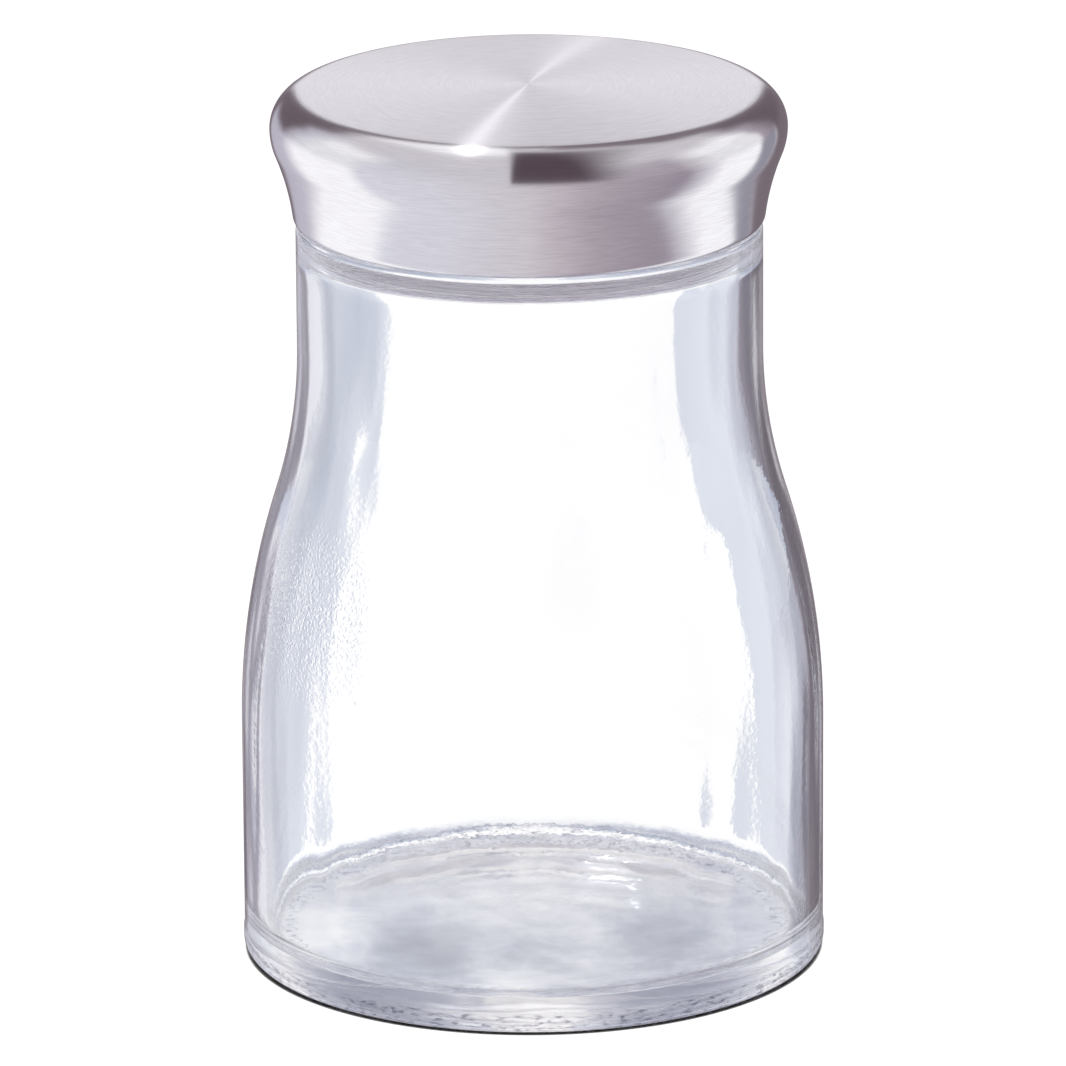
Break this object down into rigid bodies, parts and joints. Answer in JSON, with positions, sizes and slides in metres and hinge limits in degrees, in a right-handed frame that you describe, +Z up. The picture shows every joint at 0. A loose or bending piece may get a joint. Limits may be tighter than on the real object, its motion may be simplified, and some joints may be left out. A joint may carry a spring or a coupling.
{
  "type": "spice jar",
  "caption": "Waisted clear glass jar with a flared brushed steel screw lid, threaded plastic insert and soft sealing disc.",
  "frame": {"origin": "middle of the base, on the surface the jar stands on", "axes": "+Z up along the jar's axis; the jar is round, so X and Y are free, and the glass thread starts at +X"},
  "size_m": [0.0642, 0.0642, 0.0977],
  "materials": {
    "clear_glass": "clear soda-lime glass, fire polished",
    "brushed_steel": "stainless steel sheet, brushed in circles",
    "moulded_polypropylene": "natural milky white, moulded",
    "foamed_polyethylene": "soft closed-cell foam, smooth skin"
  },
  "bodies": {
    "jar": {"glass_jar": "clear_glass"},
    "liner": {"sealing_liner": "foamed_polyethylene"},
    "lid": {"lid_shell": "brushed_steel", "lid_insert": "moulded_polypropylene"}
  },
  "joints": [
    {"name": "lid_lift", "type": "slide", "parent": "jar", "child": "liner", "axis": [0, 0, 1], "range_m": [0, 0.0215]},
    {"name": "lid_turn", "type": "hinge", "parent": "liner", "child": "lid", "pos_m": [0, 0, 0.0827], "axis": [0, 0, 1], "range_deg": [0, 1800]}
  ],
  "couplings": [
    {"joint": "lid_lift", "follows": "lid_turn", "m_per_rad": 0.00067376}
  ]
}
